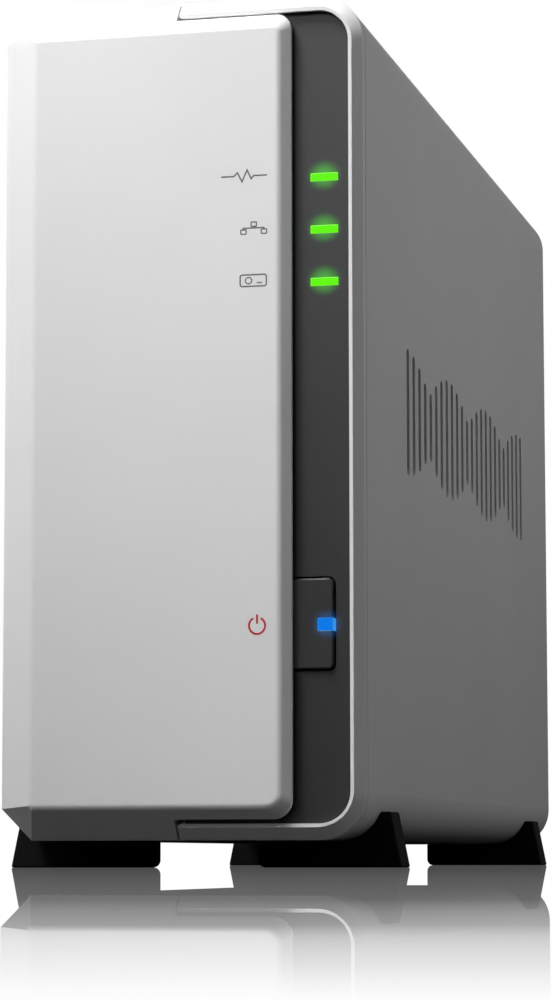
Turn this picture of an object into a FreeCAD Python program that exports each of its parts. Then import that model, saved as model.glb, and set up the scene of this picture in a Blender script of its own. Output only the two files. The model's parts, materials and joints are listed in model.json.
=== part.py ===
"""A single-bay network attached storage enclosure, modelled piece by piece.

Every place is given from three datums: x = 0 on the centre plane, y = 0 on the front face,
z = 0 on the surface that the feet stand on. Each sub-part is then placed half a depth
forward, so that the model's origin is at the bottom centre of the whole object.
"""
import FreeCAD, Part
import math
import os
import re

import Sketcher
from FreeCAD import Placement, Rotation, Vector

DIMENSIONS = {
    # enclosure
    "depth": 224.0,
    "height": 166.0,
    "half_width": 35.5,
    "underside": 5.15,
    "skin": 2.2,
    "edge_radius": 8.6,
    "edge_chamfer": 6.0,
    "seam_y": 7.3,
    "seam_gap": 0.4,
    "split_x": -0.3,
    "split_gap": 0.3,
    "tongue": 1.2,
    "tongue_reach": 3.0,
    "slide_gap": 0.3,
    "mitre_play": 0.9,
    "boss_radius": 3.0,
    "boss_root": 0.5,
    "boss_thread": 6.0,
    "rail_thread": 1.7,
    # front plate
    "face_left": -28.5,
    "face_right": 20.25,
    "face_low": 11.15,
    "face_high": 159.65,
    "face_nick": 0.5,
    "face_corner_low": 2.9,
    "face_corner_high": 1.7,
    "bevel_depth": 4.8,
    "lip_depth": 1.9,
    "lip_right": 22.15,
    "lip_low": 9.0,
    "lip_high": 162.15,
    "lip_corner_low": 3.7,
    "lip_corner_high": 2.8,
    "lip_back": 3.0,
    "plate_wall": 2.6,
    "hollow_corner": 1.5,
    "slit": 0.5,
    # front frame
    "rim_y": 2.6,
    "rim_right": 33.85,
    "rim_low": 7.5,
    "rim_high": 163.5,
    "rim_corner": 7.0,
    "frame_right": 33.17,
    "frame_low": 8.2,
    "frame_high": 162.7,
    "frame_corner": 6.0,
    "frame_lip": 0.8,
    "frame_groove": 0.5,
    "frame_end_round": 0.7,
    "frame_tongue": 3.0,
    "frame_inside": 5.0,
    # indicator panel, lights and power button
    "panel_y": 4.2,
    "panel_thick": 2.0,
    "panel_left": 1.0,
    "panel_gap": 0.2,
    "panel_play": 0.3,
    "light_x": 28.1,
    "light_wide": 5.4,
    "light_tall": 1.6,
    "light_z": 110.4,
    "light_pitch": 10.1,
    "button_y": 3.4,
    "button_left": 21.0,
    "button_right": 29.8,
    "button_low": 36.85,
    "button_high": 53.95,
    "button_corner": 1.1,
    "button_edge": 0.3,
    "button_gap": 0.35,
    "lens_left": 26.75,
    "lens_low": 44.05,
    "lens_high": 46.5,
    "lens_corner": 0.4,
    # board behind the indicator panel, with its lamps and switch
    "circuit_y": 9.8,
    "circuit_thick": 1.6,
    "circuit_left": 10.0,
    "circuit_right": 31.5,
    "circuit_low": 31.0,
    "circuit_high": 142.0,
    "circuit_thread": 0.8,
    "post_radius": 2.6,
    "guide_proud": 0.1,
    "guide_flange": 0.8,
    "guide_flange_thick": 1.0,
    "lamp_wide": 3.2,
    "lamp_deep": 1.4,
    "lamp_tall": 1.6,
    "stem_x": 24.0,
    "stem_radius": 1.6,
    "stem_long": 0.9,
    "lens_inset": 0.05,
    "switch_side": 5.0,
    "switch_deep": 1.2,
    "power_lamp_inset": 0.4,
    "power_lamp_wide": 2.0,
    "power_lamp_deep": 1.3,
    "power_lamp_tall": 1.4,
    # vents in the cover
    "vent_front": 47.0,
    "vent_pitch": 6.0,
    "vent_count": 24,
    "vent_radius": 1.35,
    "vent_z": 91.0,
    "vent_swing": 11.5,
    "vent_swell_least": 0.45,
    "vent_wave": 24.0,
    "louvre_thick": 2.2,
    "louvre_edge": 8.0,
    "rib_edge": 4.0,
    "rib_gap": 3.0,
    "rib_start": 3.5,
    "rib_lean": 5.0,
    # feet
    "foot_inner": 10.85,
    "foot_outer": 39.05,
    "foot_top_outer": 36.9,
    "foot_top": 10.6,
    "foot_length": 8.3,
    "foot_round": 1.4,
    "front_foot_y": 21.0,
    "rear_foot_y": 189.5,
    # rear panel
    "rear_inset": 4.4,
    "rear_thick": 2.0,
    "flange_inset": 2.1,
    "flange_left": 27.5,
    "flange_end": 7.0,
    "flange_screw_x": 30.3,
    "flange_screw_low": 36.0,
    "flange_screw_high": 148.0,
    # fan
    "fan_x": -3.0,
    "fan_z": 108.0,
    "fan_side": 60.0,
    "fan_thick": 15.0,
    "fan_bore": 28.5,
    "fan_pitch": 50.0,
    "hub_radius": 12.2,
    "shaft_radius": 1.5,
    "shaft_play": 0.05,
    "mount_thick": 2.2,
    "strut_half": 1.3,
    "strut_root": 3.0,
    "strut_end": 1.0,
    "fan_post": 3.0,
    "post_start": 4.5,
    "fan_bore_start": 3.0,
    "fan_bore_end": 1.0,
    "cup_start": 0.8,
    "cup_deep": 11.0,
    "cup_wall": 1.6,
    "cup_floor": 1.4,
    "shaft_start": 2.0,
    "shaft_long": 10.0,
    "blade_count": 7,
    "blade_root": 0.8,
    "blade_tip_gap": 2.2,
    "coil_radius": 8.6,
    "coil_long": 6.0,
    "coil_start": 5.5,
    "core_play": 0.02,
    "core_long": 8.0,
    "guard_rings": 5,
    "guard_inner": 6.5,
    "guard_step": 4.4,
    "guard_slot": 3.1,
    "guard_spoke": 2.2,
    # main circuit board
    "board_x": -24.0,
    "board_thick": 1.6,
    "board_low": 11.0,
    "board_rear": 217.0,
    "board_front": 20.0,
    "board_shelf": 50.0,
    "board_step": 178.5,
    "board_wing": 201.0,
    "board_wing_low": 76.0,
    "board_wing_high": 108.0,
    # chips, heat sink and capacitors on the circuit board
    "chip_y": 92.0,
    "chip_z": 18.0,
    "chip_side": 22.0,
    "chip_thick": 1.6,
    "sink_edge": 2.0,
    "sink_tall": 9.0,
    "sink_sole": 2.0,
    "fin_count": 8,
    "fin_start": 1.4,
    "fin_gap": 1.8,
    "fin_span": 21.4,
    "memory_y": 128.0,
    "memory_z": 16.0,
    "memory_pitch": 15.0,
    "memory_wide": 9.0,
    "memory_tall": 12.0,
    "package_thick": 1.2,
    "flash_y": 70.0,
    "flash_z": 22.0,
    "flash_wide": 8.0,
    "flash_tall": 6.0,
    "can_y": 150.0,
    "can_pitch": 9.0,
    "can_z": 20.0,
    "can_radius": 3.1,
    "can_tall": 7.5,
    # network, USB and power sockets
    "lan_z": 23.0,
    "lan_wide": 16.0,
    "lan_tall": 13.5,
    "lan_deep": 21.0,
    "lan_back": 8.0,
    "lan_base": 1.8,
    "lan_mouth_tall": 6.8,
    "lan_mouth_half": 6.0,
    "latch_back": 12.0,
    "latch_low": 8.0,
    "latch_high": 11.8,
    "latch_half": 3.1,
    "usb_low_z": 41.0,
    "usb_high_z": 56.0,
    "usb_wide": 13.1,
    "usb_tall": 5.7,
    "usb_deep": 14.0,
    "usb_rise": 6.5,
    "usb_wall": 0.4,
    "usb_back": 2.0,
    "usb_tongue_low": 0.6,
    "usb_tongue_high": 2.3,
    "usb_tongue_half": 5.2,
    "usb_tongue_back": 1.0,
    "usb_tongue_inset": 2.5,
    "usb_carrier_half": 5.0,
    "usb_carrier_inset": 5.0,
    "usb_carrier_lap": 0.2,
    "power_z": 70.0,
    "power_side": 9.0,
    "power_wide": 10.0,
    "power_deep": 14.0,
    "power_neck": 4.1,
    "power_neck_long": 4.0,
    "power_bore_back": 3.0,
    "power_pin_back": 2.0,
    "power_pin_long": 11.0,
    "power_bore": 3.2,
    "power_pin": 1.0,
    # reset button and lock slot
    "reset_x": 6.0,
    "reset_z": 35.6,
    "reset_hole": 1.1,
    "plunger_radius": 0.9,
    "plunger_play": 0.05,
    "plunger_start": 4.3,
    "plunger_long": 3.5,
    "reset_side": 6.0,
    "reset_start": 6.0,
    "reset_deep": 3.5,
    "reset_bore": 5.0,
    "carrier_drop": 4.2,
    "carrier_thick": 1.2,
    "carrier_front": 199.0,
    "carrier_gap": 1.0,
    "lock_left": 12.0,
    "lock_right": 15.0,
    "lock_low": 20.0,
    "lock_high": 27.0,
    "port_play": 0.2,
    # socket for the hard drive
    "drive_socket_y": 178.6,
    "drive_socket_z": 60.0,
    "drive_socket_rise": 10.5,
    "drive_socket_deep": 9.0,
    "drive_socket_tall": 44.0,
    "drive_slot_in": 2.0,
    "drive_slot_rise": 4.6,
    "drive_slot_wide": 3.4,
    "drive_slot_deep": 4.5,
    # hard drive and its rails
    "drive_left": -18.4,
    "drive_right": 6.0,
    "drive_front": 30.0,
    "drive_rear": 177.0,
    "drive_low": 56.0,
    "drive_high": 157.6,
    "drive_corner": 3.0,
    "lid_thick": 1.0,
    "lid_edge": 2.0,
    "lid_corner": 6.0,
    "lid_hub_y": 52.0,
    "lid_hub": 13.0,
    "lid_dent": 0.4,
    "drive_board_thick": 1.6,
    "drive_board_edge": 5.0,
    "drive_board_inset": 3.0,
    "drive_board_wide": 45.0,
    "drive_board_long": 75.0,
    "drive_board_low": 46.0,
    "plug_rise": 6.5,
    "plug_wide": 2.6,
    "plug_deep": 1.4,
    "plug_tall": 39.0,
    "bracket_thick": 1.2,
    "bracket_front": 40.0,
    "bracket_long": 130.0,
    "bracket_foot_low": 40.0,
    "bracket_foot_high": 141.0,
    "bracket_reach": 2.0,
    # fasteners
    "screw_shank": 1.4,
    "screw_play": 0.1,
    "screw_head": 2.9,
    "screw_head_tall": 1.7,
    "cross_wide": 0.7,
    "cross_long": 3.2,
    "circuit_screw": 4.6,
    "board_screw": 6.6,
    "rail_screw": 2.8,
    "drive_screw": 5.2,
    "drive_thread": 5.0,
    "case_screw": 6.0,
    "fan_screw": 8.0,
    # cutting sketches start this far outside the face that they cut
    "over": 0.5,
}

# where the screws go: (y, z), on a rail x and (y, y), or (x, z)
BOARD_SCREWS = [("30", "17"), ("30", "44"), ("174", "17"), ("197", "100")]
BRACKET_SCREWS = [("60", "48"), ("150", "48"), ("60", "150"), ("150", "150")]
CIRCUIT_SCREWS = [("14", "75"), ("14", "137")]
DRIVE_SCREW_X = "-12"
DRIVE_SCREWS_Y = ("58.6", "160.2")

# the fan blade's section at the hub and at its tip: (along the axis, across it)
BLADE_ROOT = [("1.4", "-4.6"), ("2.6", "-4.9"), ("11", "4.6"), ("9.8", "4.9")]
BLADE_TIP = [("2.4", "-7.4"), ("3.4", "-7.8"), ("9.6", "7.4"), ("8.6", "7.8")]

doc = FreeCAD.newDocument("network_storage")
dims = doc.addObject("Spreadsheet::Sheet", "dims")
for row, (alias, number) in enumerate(DIMENSIONS.items(), 1):
    dims.set("A%d" % row, alias)
    dims.set("B%d" % row, str(number))
    dims.setAlias("B%d" % row, alias)
doc.recompute()

SUBPARTS = []


# ---------------------------------------------------------------- sizes and their expressions

def bound(size):
    """A size such as "depth - skin", with each alias turned into a reference to its cell."""
    def reference(word):
        return "dims." + word.group(0) if word.group(0) in DIMENSIONS else word.group(0)
    return re.sub(r"[a-z_]+", reference, str(size))


def value(size):
    """The number that a size comes to."""
    return float(dims.evalExpression(bound(size)))


def bind(thing, target, size):
    thing.setExpression(target, bound(size))


# ---------------------------------------------------------------- PartDesign bodies

def new_body(label, x="0", y="0", z="0"):
    """A body whose own origin is at (x, y, z) from the datums."""
    body = doc.addObject("PartDesign::Body", label)
    body.Label = label
    bind(body, "Placement.Base.x", x)
    bind(body, "Placement.Base.y", "%s - depth / 2" % y)
    bind(body, "Placement.Base.z", z)
    SUBPARTS.append(body)
    return body


def new_sketch(body, role, level, across="0", up="0"):
    """A sketch on the plane called role, at level along that plane's positive axis."""
    plane = next(item for item in body.Origin.OriginFeatures if item.Role == role)
    sketch = body.newObject("Sketcher::SketchObject", body.Name + "_sketch")
    sketch.AttachmentSupport = [(plane, "")]
    sketch.MapMode = "FlatFace"
    facing = "-" if role == "XZ_Plane" else ""
    bind(sketch, "AttachmentOffset.Base.x", across)
    bind(sketch, "AttachmentOffset.Base.y", up)
    bind(sketch, "AttachmentOffset.Base.z", "%s(%s)" % (facing, level))
    return sketch


def hold(sketch, kind, *rest):
    """Adds a constraint; a last argument that is text is a size from the sheet."""
    if isinstance(rest[-1], str):
        index = sketch.addConstraint(Sketcher.Constraint(kind, *rest[:-1], value(rest[-1])))
        bind(sketch, "Constraints[%d]" % index, rest[-1])
    else:
        sketch.addConstraint(Sketcher.Constraint(kind, *rest))


def polygon(sketch, corners):
    """A closed outline with straight sides, held at both coordinates of every corner."""
    spots = [Vector(value(x), value(y), 0) for x, y in corners]
    first = sketch.GeometryCount
    for here, there in zip(spots, spots[1:] + spots[:1]):
        sketch.addGeometry(Part.LineSegment(here, there), False)
    for index, (x, y) in enumerate(corners):
        hold(sketch, "Coincident", first + index, 2, first + (index + 1) % len(corners), 1)
        hold(sketch, "DistanceX", -1, 1, first + index, 1, str(x))
        hold(sketch, "DistanceY", -1, 1, first + index, 1, str(y))


def rectangle(sketch, left, right, low, high):
    polygon(sketch, [(left, low), (right, low), (right, high), (left, high)])


def circle(sketch, x, y, radius):
    """A circle held at its centre, with its radius from the sheet."""
    centre = Vector(value(x), value(y), 0)
    index = sketch.addGeometry(Part.Circle(centre, Vector(0, 0, 1), value(radius)), False)
    hold(sketch, "DistanceX", -1, 1, index, 3, str(x))
    hold(sketch, "DistanceY", -1, 1, index, 3, str(y))
    hold(sketch, "Radius", index, str(radius))


def arc(centre, radius, start, end):
    """An arc drawn anticlockwise from start to end, in degrees."""
    ring = Part.Circle(centre, Vector(0, 0, 1), radius)
    return Part.ArcOfCircle(ring, math.radians(start), math.radians(end))


def right_rounded(sketch, left, right, low, high, radius, low_radius=None):
    """A rectangle whose two right-hand corners are rounded, the lower one by low_radius."""
    low_radius = low_radius or radius
    x0, x1, z0, z1, r, rl = (value(size) for size in (left, right, low, high, radius, low_radius))
    base = sketch.GeometryCount
    shapes = [
        Part.LineSegment(Vector(x0, z0, 0), Vector(x1 - rl, z0, 0)),
        arc(Vector(x1 - rl, z0 + rl, 0), rl, -90, 0),
        Part.LineSegment(Vector(x1, z0 + rl, 0), Vector(x1, z1 - r, 0)),
        arc(Vector(x1 - r, z1 - r, 0), r, 0, 90),
        Part.LineSegment(Vector(x1 - r, z1, 0), Vector(x0, z1, 0)),
        Part.LineSegment(Vector(x0, z1, 0), Vector(x0, z0, 0)),
    ]
    sketch.addGeometry(shapes, False)
    floor, low_arc, side, high_arc, roof, edge = range(base, base + 6)
    for before, after in ((floor, low_arc), (low_arc, side), (side, high_arc), (high_arc, roof)):
        hold(sketch, "Tangent", before, 2, after, 1)
    hold(sketch, "Coincident", roof, 2, edge, 1)
    hold(sketch, "Coincident", edge, 2, floor, 1)
    hold(sketch, "Horizontal", floor)
    hold(sketch, "Horizontal", roof)
    hold(sketch, "Vertical", side)
    hold(sketch, "DistanceX", -1, 1, edge, 1, left)
    hold(sketch, "DistanceX", -1, 1, edge, 2, left)
    hold(sketch, "DistanceX", -1, 1, side, 1, right)
    hold(sketch, "DistanceY", -1, 1, edge, 2, low)
    hold(sketch, "DistanceY", -1, 1, edge, 1, high)
    hold(sketch, "Radius", low_arc, low_radius)
    hold(sketch, "Radius", high_arc, radius)


def upright_slot(sketch, x, low, high, radius):
    """A slot with round ends, whose end centres are at heights low and high."""
    x0, z0, z1, r = (value(size) for size in (x, low, high, radius))
    base = sketch.GeometryCount
    shapes = [
        Part.LineSegment(Vector(x0 + r, z0, 0), Vector(x0 + r, z1, 0)),
        arc(Vector(x0, z1, 0), r, 0, 180),
        Part.LineSegment(Vector(x0 - r, z1, 0), Vector(x0 - r, z0, 0)),
        arc(Vector(x0, z0, 0), r, 180, 360),
    ]
    sketch.addGeometry(shapes, False)
    for index in range(4):
        hold(sketch, "Tangent", base + index, 2, base + (index + 1) % 4, 1)
    for end, level in ((base + 1, high), (base + 3, low)):
        hold(sketch, "DistanceX", -1, 1, end, 3, x)
        hold(sketch, "DistanceY", -1, 1, end, 3, level)
    hold(sketch, "Radius", base + 1, radius)


def faces_back(sketch):
    """Whether the sketch's normal runs against its axis, as it does on the XZ plane."""
    return sketch.AttachmentSupport[0][0].Role == "XZ_Plane"


def pad(body, sketch, length):
    """Adds the sketch's outline, thickened along the positive axis."""
    feature = body.newObject("PartDesign::Pad", body.Name + "_pad")
    feature.Profile = sketch
    feature.Reversed = faces_back(sketch)
    bind(feature, "Length", length)
    doc.recompute()
    return feature


def pocket(body, sketch, length):
    """Removes the sketch's outline along the positive axis, and checks that material went."""
    volume = body.Shape.Volume
    feature = body.newObject("PartDesign::Pocket", body.Name + "_pocket")
    feature.Profile = sketch
    feature.Reversed = not faces_back(sketch)
    bind(feature, "Length", length)
    doc.recompute()
    if not body.Shape.Volume < volume - 1e-6:
        raise RuntimeError("pocket removes nothing from " + body.Label)
    return feature


def loft(body, first, second):
    feature = body.newObject("PartDesign::AdditiveLoft", body.Name + "_loft")
    feature.Profile = first
    feature.Sections = [second]
    feature.Ruled = True
    doc.recompute()
    return feature


def edge_names(shape, chosen):
    """Names of the edges for which chosen(middle point, direction or None) holds."""
    names = []
    for number, edge in enumerate(shape.Edges, 1):
        start, end = edge.ParameterRange
        middle = edge.valueAt((start + end) / 2)
        straight = isinstance(edge.Curve, Part.Line)
        direction = edge.tangentAt(start) if straight else None
        if chosen(middle, direction):
            names.append("Edge%d" % number)
    return names


def soften(body, kind, size, chosen):
    """A fillet or chamfer on the chosen edges of the body's last feature."""
    base = body.Tip
    names = edge_names(base.Shape, chosen)
    if not names:
        raise RuntimeError("no edge to soften on " + body.Label)
    feature = body.newObject("PartDesign::" + kind, body.Name + "_" + kind.lower())
    feature.Base = (base, names)
    bind(feature, "Radius" if kind == "Fillet" else "Size", size)
    doc.recompute()
    return feature


def runs_along(direction, axis):
    return direction is not None and abs(direction.dot(axis)) > 0.999


def repeat(body, feature, kind, axis_role, count, span=None):
    """A polar pattern about, or a linear pattern along, one of the body's own axes."""
    pattern = body.newObject("PartDesign::" + kind, body.Name + "_pattern")
    pattern.Originals = [feature]
    axis = next(item for item in body.Origin.OriginFeatures if item.Role == axis_role)
    if kind == "PolarPattern":
        pattern.Axis = (axis, [""])
        pattern.Angle = 360
    else:
        pattern.Direction = (axis, [""])
        bind(pattern, "Length", span)
    pattern.Occurrences = count
    body.Tip = pattern
    doc.recompute()
    return pattern


def prism(label, role, level, length, corners):
    """A body that is one padded polygon."""
    body = new_body(label)
    sketch = new_sketch(body, role, level)
    polygon(sketch, corners)
    pad(body, sketch, length)
    return body


# ---------------------------------------------------------------- Part primitives

def block(name, x, y, z, long, deep, tall):
    """A box from its low corner, with its length along x, depth along y and height along z."""
    box = doc.addObject("Part::Box", name)
    bind(box, "Length", long)
    bind(box, "Width", deep)
    bind(box, "Height", tall)
    bind(box, "Placement.Base.x", x)
    bind(box, "Placement.Base.y", "%s - depth / 2" % y)
    bind(box, "Placement.Base.z", z)
    return box


TURNS = {
    "x": Rotation(Vector(0, 1, 0), 90),
    "y": Rotation(Vector(1, 0, 0), -90),
    "z": Rotation(),
}


def rod(name, axis, x, y, z, radius, length):
    """A cylinder that starts at (x, y, z) and runs along the positive axis."""
    cylinder = doc.addObject("Part::Cylinder", name)
    cylinder.Placement = Placement(Vector(), TURNS[axis])
    bind(cylinder, "Radius", radius)
    bind(cylinder, "Height", length)
    bind(cylinder, "Placement.Base.x", x)
    bind(cylinder, "Placement.Base.y", "%s - depth / 2" % y)
    bind(cylinder, "Placement.Base.z", z)
    return cylinder


def fused(label, pieces):
    joined = doc.addObject("Part::MultiFuse", label)
    joined.Shapes = pieces
    joined.Refine = True
    joined.Label = label
    return joined


def without(label, base, tool):
    """The base with the tool cut away."""
    left = doc.addObject("Part::Cut", label)
    left.Base = base
    left.Tool = tool
    left.Refine = True
    left.Label = label
    return left


def grouped(label, pieces):
    """Separate solids that share one node."""
    group = doc.addObject("Part::Compound", label)
    group.Links = pieces
    group.Label = label
    SUBPARTS.append(group)
    return group


def finished(label, thing):
    thing.Label = label
    SUBPARTS.append(thing)
    return thing


def screws(label, axis, spots, shank, flip=False):
    """Cross-head screws of one size; flip points the shank along the negative axis."""
    unit = {"x": (1, 0, 0), "y": (0, 1, 0), "z": (0, 0, 1)}[axis]
    pieces = []
    for number, spot in enumerate(spots, 1):
        name = "%s_%d" % (label, number)

        def along(offset):
            return ["%s + %d * (%s)" % (spot[i], unit[i], offset) for i in range(3)]

        head_start = "0" if flip else "-screw_head_tall"
        shank_start = "-(%s)" % shank if flip else "0"
        head = rod(name + "_head", axis, *along(head_start), "screw_head", "screw_head_tall")
        body = rod(name + "_shank", axis, *along(shank_start), "screw_shank", shank)
        whole = fused(name + "_blank", [head, body])
        recess_start = "screw_head_tall / 2" if flip else "-screw_head_tall"
        slots = []
        for across in range(3):
            if unit[across]:
                continue
            wide = ["cross_wide"] * 3
            wide[across] = "cross_long"
            low = along(recess_start)
            corner = [low[i] if unit[i] else "%s - %s / 2" % (low[i], wide[i]) for i in range(3)]
            size = ["screw_head_tall / 2" if unit[i] else wide[i] for i in range(3)]
            slots.append(block("%s_slot_%d" % (name, across), *corner, *size))
        pieces.append(without(name, whole, fused(name + "_recess", slots)))
    return grouped(label, pieces)


# ---------------------------------------------------------------- outer shells

def make_front_plate():
    """White plate: wide bevels on the left, a thin raised lip over the indicator panel."""
    left_end = "split_x - slit / 2"
    plate = new_body("front_plate")
    face = new_sketch(plate, "XZ_Plane", "0")
    polygon(face, [
        (left_end, "face_low"), ("face_left + face_nick", "face_low"),
        ("face_left", "face_low + face_nick"), ("face_left", "face_high - face_nick"),
        ("face_left + face_nick", "face_high"), (left_end, "face_high"),
    ])
    outline = [
        (left_end, "underside"), ("edge_chamfer - half_width", "underside"),
        ("-half_width", "underside + edge_chamfer"), ("-half_width", "height - edge_chamfer"),
        ("edge_chamfer - half_width", "height"), (left_end, "height"),
    ]
    edge = new_sketch(plate, "XZ_Plane", "bevel_depth")
    polygon(edge, outline)
    loft(plate, face, edge)
    rim = new_sketch(plate, "XZ_Plane", "bevel_depth")
    polygon(rim, outline)
    pad(plate, rim, "seam_y - seam_gap / 2 - bevel_depth")

    lip_face = new_sketch(plate, "XZ_Plane", "0")
    right_rounded(lip_face, left_end, "face_right", "face_low", "face_high", "face_corner_high",
                  "face_corner_low")
    lip_edge = new_sketch(plate, "XZ_Plane", "lip_depth")
    lip = (left_end, "lip_right", "lip_low", "lip_high", "lip_corner_high", "lip_corner_low")
    right_rounded(lip_edge, *lip)
    loft(plate, lip_face, lip_edge)
    lip_body = new_sketch(plate, "XZ_Plane", "lip_depth")
    right_rounded(lip_body, *lip)
    pad(plate, lip_body, "lip_back - lip_depth")

    hollow = new_sketch(plate, "XZ_Plane", "lip_back")
    reach = " * lip_back / bevel_depth"
    side = "face_left - (half_width + face_left)" + reach + " + plate_wall"
    roof = "face_high + (height - face_high)" + reach + " - plate_wall"
    floor = "face_low - (face_low - underside)" + reach + " + plate_wall"
    polygon(hollow, [
        ("split_x + 1", floor), (side + " + hollow_corner", floor), (side, floor + " + hollow_corner"),
        (side, roof + " - hollow_corner"), (side + " + hollow_corner", roof), ("split_x + 1", roof),
    ])
    pocket(plate, hollow, "bevel_depth")


def make_left_shell():
    """Left half of the case: facetted long edges, tongues under the cover, screw bosses."""
    shell = new_body("left_shell")
    end = "split_x - split_gap / 2"
    section = new_sketch(shell, "XZ_Plane", "seam_y + seam_gap / 2")
    tongue_top = "height - skin - slide_gap"
    tongue_base = "underside + skin + slide_gap"
    polygon(section, [
        (end, "underside"), ("edge_chamfer - half_width", "underside"),
        ("-half_width", "underside + edge_chamfer"), ("-half_width", "height - edge_chamfer"),
        ("edge_chamfer - half_width", "height"), (end, "height"),
        (end, tongue_top), ("tongue_reach", tongue_top),
        ("tongue_reach", tongue_top + " - tongue"), ("-tongue_reach - 1", tongue_top + " - tongue"),
        ("-tongue_reach - 1", "height - skin"),
        ("edge_chamfer - half_width + mitre_play", "height - skin"),
        ("skin - half_width", "height - edge_chamfer - mitre_play"),
        ("skin - half_width", "underside + edge_chamfer + mitre_play"),
        ("edge_chamfer - half_width + mitre_play", "underside + skin"),
        ("-tongue_reach - 1", "underside + skin"),
        ("-tongue_reach - 1", tongue_base + " + tongue"),
        ("tongue_reach", tongue_base + " + tongue"),
        ("tongue_reach", tongue_base), (end, tongue_base),
    ])
    pad(shell, section, "depth - seam_y - seam_gap / 2")

    bosses = new_sketch(shell, "YZ_Plane", "skin - half_width - boss_root")
    for y, z in BOARD_SCREWS:
        circle(bosses, y, z, "boss_radius")
    pad(shell, bosses, "board_x - skin + half_width + boss_root")
    bores = new_sketch(shell, "YZ_Plane", "board_x - boss_thread")
    for y, z in BOARD_SCREWS:
        circle(bores, y, z, "screw_shank + screw_play")
    pocket(shell, bores, "boss_thread + over")
    sockets = new_sketch(shell, "YZ_Plane", "skin - half_width - rail_thread")
    for y, z in BRACKET_SCREWS:
        circle(sockets, y, z, "screw_shank + screw_play")
    pocket(shell, sockets, "rail_thread + over")


def make_cover():
    """Right half of the case: rounded long edges, vents, and a screwed flange at the rear."""
    cover = new_body("cover")
    end = "split_x + split_gap / 2"
    section = new_sketch(cover, "XZ_Plane", "seam_y + seam_gap / 2")
    polygon(section, [
        (end, "underside"), ("half_width", "underside"), ("half_width", "height"), (end, "height"),
        (end, "height - skin"), ("half_width - skin", "height - skin"),
        ("half_width - skin", "underside + skin"), (end, "underside + skin"),
    ])
    pad(cover, section, "depth - seam_y - seam_gap / 2")
    along_y = Vector(0, 1, 0)
    outer = value("half_width") - 0.1
    soften(cover, "Fillet", "edge_radius",
           lambda middle, way: runs_along(way, along_y) and middle.x > outer)
    inner = value("half_width - skin")
    soften(cover, "Fillet", "edge_radius - skin",
           lambda middle, way: runs_along(way, along_y) and abs(middle.x - inner) < 0.1)
    flange = new_sketch(cover, "XZ_Plane", "depth - flange_inset - rear_thick")
    rectangle(flange, "flange_left", "half_width - skin / 2", "underside + flange_end",
              "height - flange_end")
    pad(cover, flange, "rear_thick")
    holes = new_sketch(cover, "XZ_Plane", "depth - flange_inset - rear_thick - over")
    for z in ("flange_screw_low", "flange_screw_high"):
        circle(holes, "flange_screw_x", z, "screw_shank + screw_play")
    pocket(cover, holes, "rear_thick + 2 * over")
    vents = new_sketch(cover, "YZ_Plane", "half_width - skin - over")
    least, wave = value("vent_swell_least"), value("vent_wave")
    for index in range(int(value("vent_count"))):
        y = "vent_front + %d * vent_pitch" % index
        share = least + (1 - least) * abs(math.cos(math.radians(index * wave)))
        swell = "(vent_swing * %.3f)" % share
        upright_slot(vents, y, "vent_z - " + swell, "vent_z + " + swell, "vent_radius")
    pocket(cover, vents, "skin + 2 * over")


def make_vent_louvre():
    """Slanted dark ribs behind the cover's vents."""
    louvre = new_body("vent_louvre")
    level = "half_width - skin - louvre_thick"
    plate = new_sketch(louvre, "YZ_Plane", level)
    rectangle(plate, "vent_front - louvre_edge", "vent_front + (vent_count - 1) * vent_pitch + louvre_edge",
              "vent_z - vent_swing - louvre_edge", "vent_z + vent_swing + louvre_edge")
    pad(louvre, plate, "louvre_thick")
    gap = new_sketch(louvre, "YZ_Plane", level + " - over")
    low, high = "vent_z - vent_swing - rib_edge", "vent_z + vent_swing + rib_edge"
    start = "vent_front - rib_start"
    polygon(gap, [(start, low), (start + " + rib_gap", low),
                  (start + " + rib_gap + rib_lean", high), (start + " + rib_lean", high)])
    first = pocket(louvre, gap, "louvre_thick + 2 * over")
    repeat(louvre, first, "LinearPattern", "Y_Axis", int(value("vent_count")),
           "(vent_count - 1) * vent_pitch")


# ---------------------------------------------------------------- front pieces

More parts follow.
